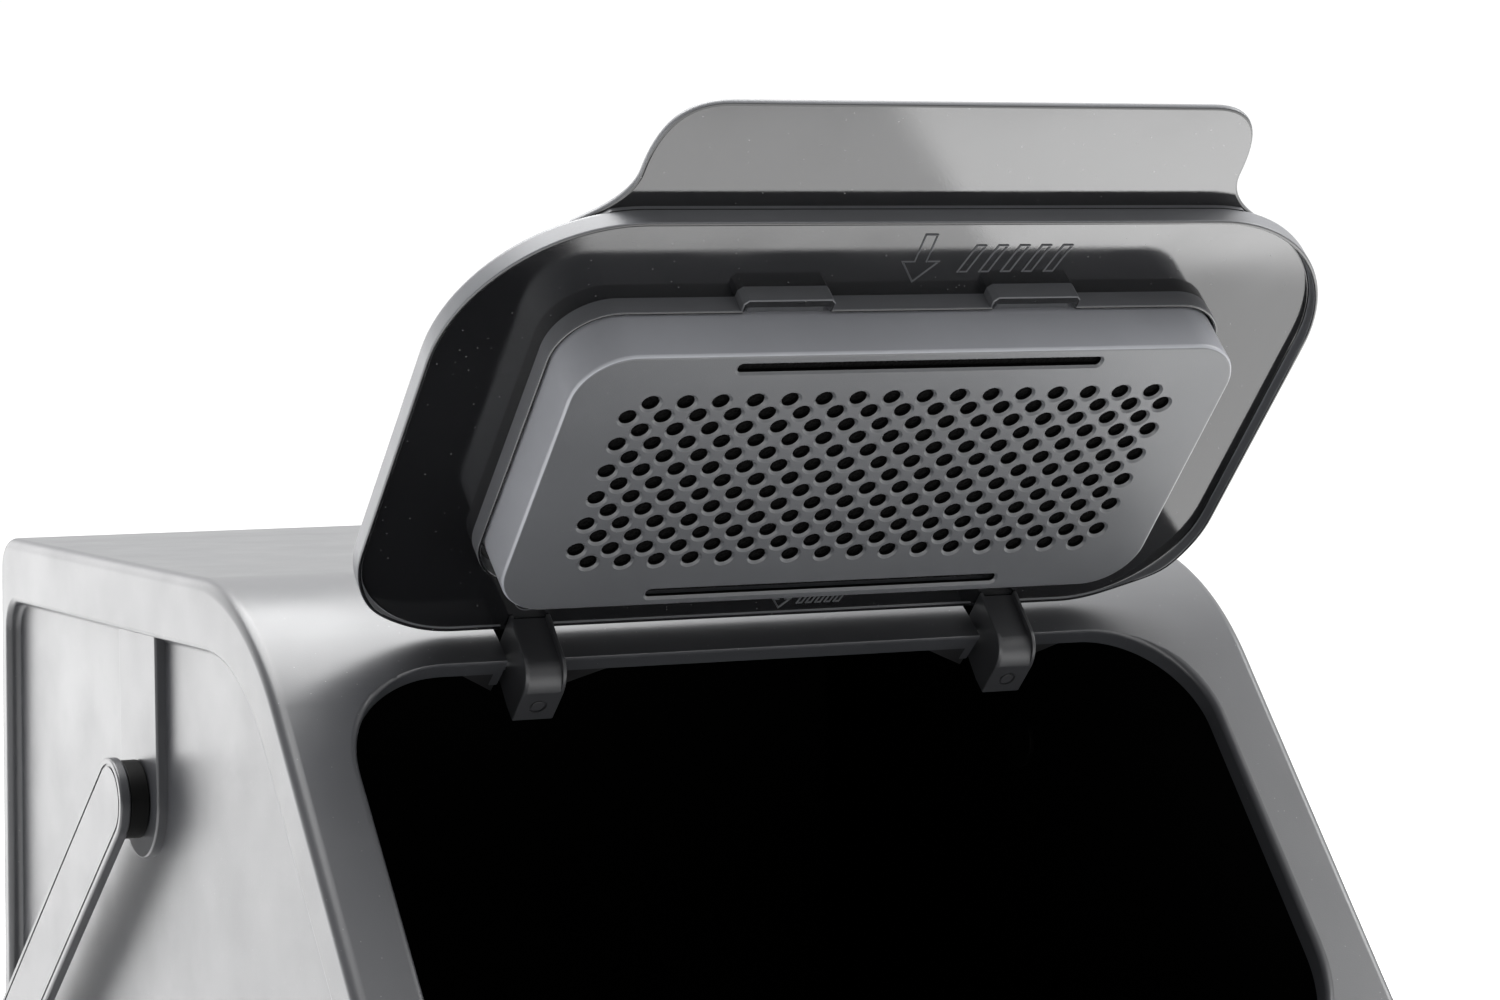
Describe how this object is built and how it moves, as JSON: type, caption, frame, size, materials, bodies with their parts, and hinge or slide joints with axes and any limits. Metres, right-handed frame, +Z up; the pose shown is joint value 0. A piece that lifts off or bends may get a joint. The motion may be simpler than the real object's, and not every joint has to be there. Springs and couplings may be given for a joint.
{
  "type": "hooded cat litter box",
  "caption": "Hooded cat litter box with a sloped front, a hinged entrance lid with a vented filter cover, and a swinging carry handle.",
  "frame": {"origin": "on the floor, under the middle of the box's bounding box, with the lid open and the handle folded down", "axes": "+Z up, the entrance faces -Y, +X across the box, along the lid's hinge axis"},
  "size_m": [0.4024, 0.584, 0.5595],
  "materials": {
    "hood_plastic": "moulded satin",
    "tray_plastic": "moulded satin",
    "lid_plastic": "moulded satin",
    "cover_plastic": "fine moulded texture",
    "handle_plastic": "moulded satin",
    "hub_plastic": "matt",
    "latch_plastic": "moulded satin",
    "filter_foam": "open-cell carbon foam",
    "foot_rubber": "matt",
    "steel_pin": "drawn wire"
  },
  "bodies": {
    "housing": {"litter_tray": "tray_plastic", "hood_shell": "hood_plastic", "hinge_pin_left": "steel_pin", "latch_pin_front_left": "steel_pin", "foot_front_left": "foot_rubber", "latch_pin_rear_left": "steel_pin", "foot_rear_left": "foot_rubber", "hinge_pin_right": "steel_pin", "latch_pin_front_right": "steel_pin", "foot_front_right": "foot_rubber", "latch_pin_rear_right": "steel_pin", "foot_rear_right": "foot_rubber"},
    "lid": {"lid_panel": "lid_plastic", "hinge_arm_left": "lid_plastic", "hinge_arm_right": "lid_plastic"},
    "vent_cover": {"filter_cover": "cover_plastic", "carbon_filter_pad": "filter_foam"},
    "handle": {"carry_handle": "handle_plastic", "handle_hub_left": "hub_plastic", "handle_hub_right": "hub_plastic"},
    "latch_body_front_left": {"latch_front_left": "latch_plastic"},
    "latch_body_rear_left": {"latch_rear_left": "latch_plastic"},
    "latch_body_front_right": {"latch_front_right": "latch_plastic"},
    "latch_body_rear_right": {"latch_rear_right": "latch_plastic"}
  },
  "joints": [
    {"name": "lid_hinge", "type": "hinge", "parent": "housing", "child": "lid", "pos_m": [0, -0.0452, 0.3708], "axis": [1, 0, 0], "range_deg": [0, 96.5]},
    {"name": "vent_cover_slide", "type": "slide", "parent": "lid", "child": "vent_cover", "axis": [0, 0.6884, -0.7254], "range_m": [0, 0.004]},
    {"name": "carry_handle_pivot", "type": "hinge", "parent": "housing", "child": "handle", "pos_m": [0, 0.09, 0.3138], "axis": [1, 0, 0], "range_deg": [0, 128]},
    {"name": "latch_hinge_front_left", "type": "hinge", "parent": "housing", "child": "latch_body_front_left", "pos_m": [-0.195, -0.13, 0.141], "axis": [0, 1, 0], "range_deg": [0, 80]},
    {"name": "latch_hinge_rear_left", "type": "hinge", "parent": "housing", "child": "latch_body_rear_left", "pos_m": [-0.195, 0.15, 0.141], "axis": [0, 1, 0], "range_deg": [0, 80]},
    {"name": "latch_hinge_front_right", "type": "hinge", "parent": "housing", "child": "latch_body_front_right", "pos_m": [0.195, -0.13, 0.141], "axis": [0, -1, 0], "range_deg": [0, 80]},
    {"name": "latch_hinge_rear_right", "type": "hinge", "parent": "housing", "child": "latch_body_rear_right", "pos_m": [0.195, 0.15, 0.141], "axis": [0, -1, 0], "range_deg": [0, 80]}
  ]
}
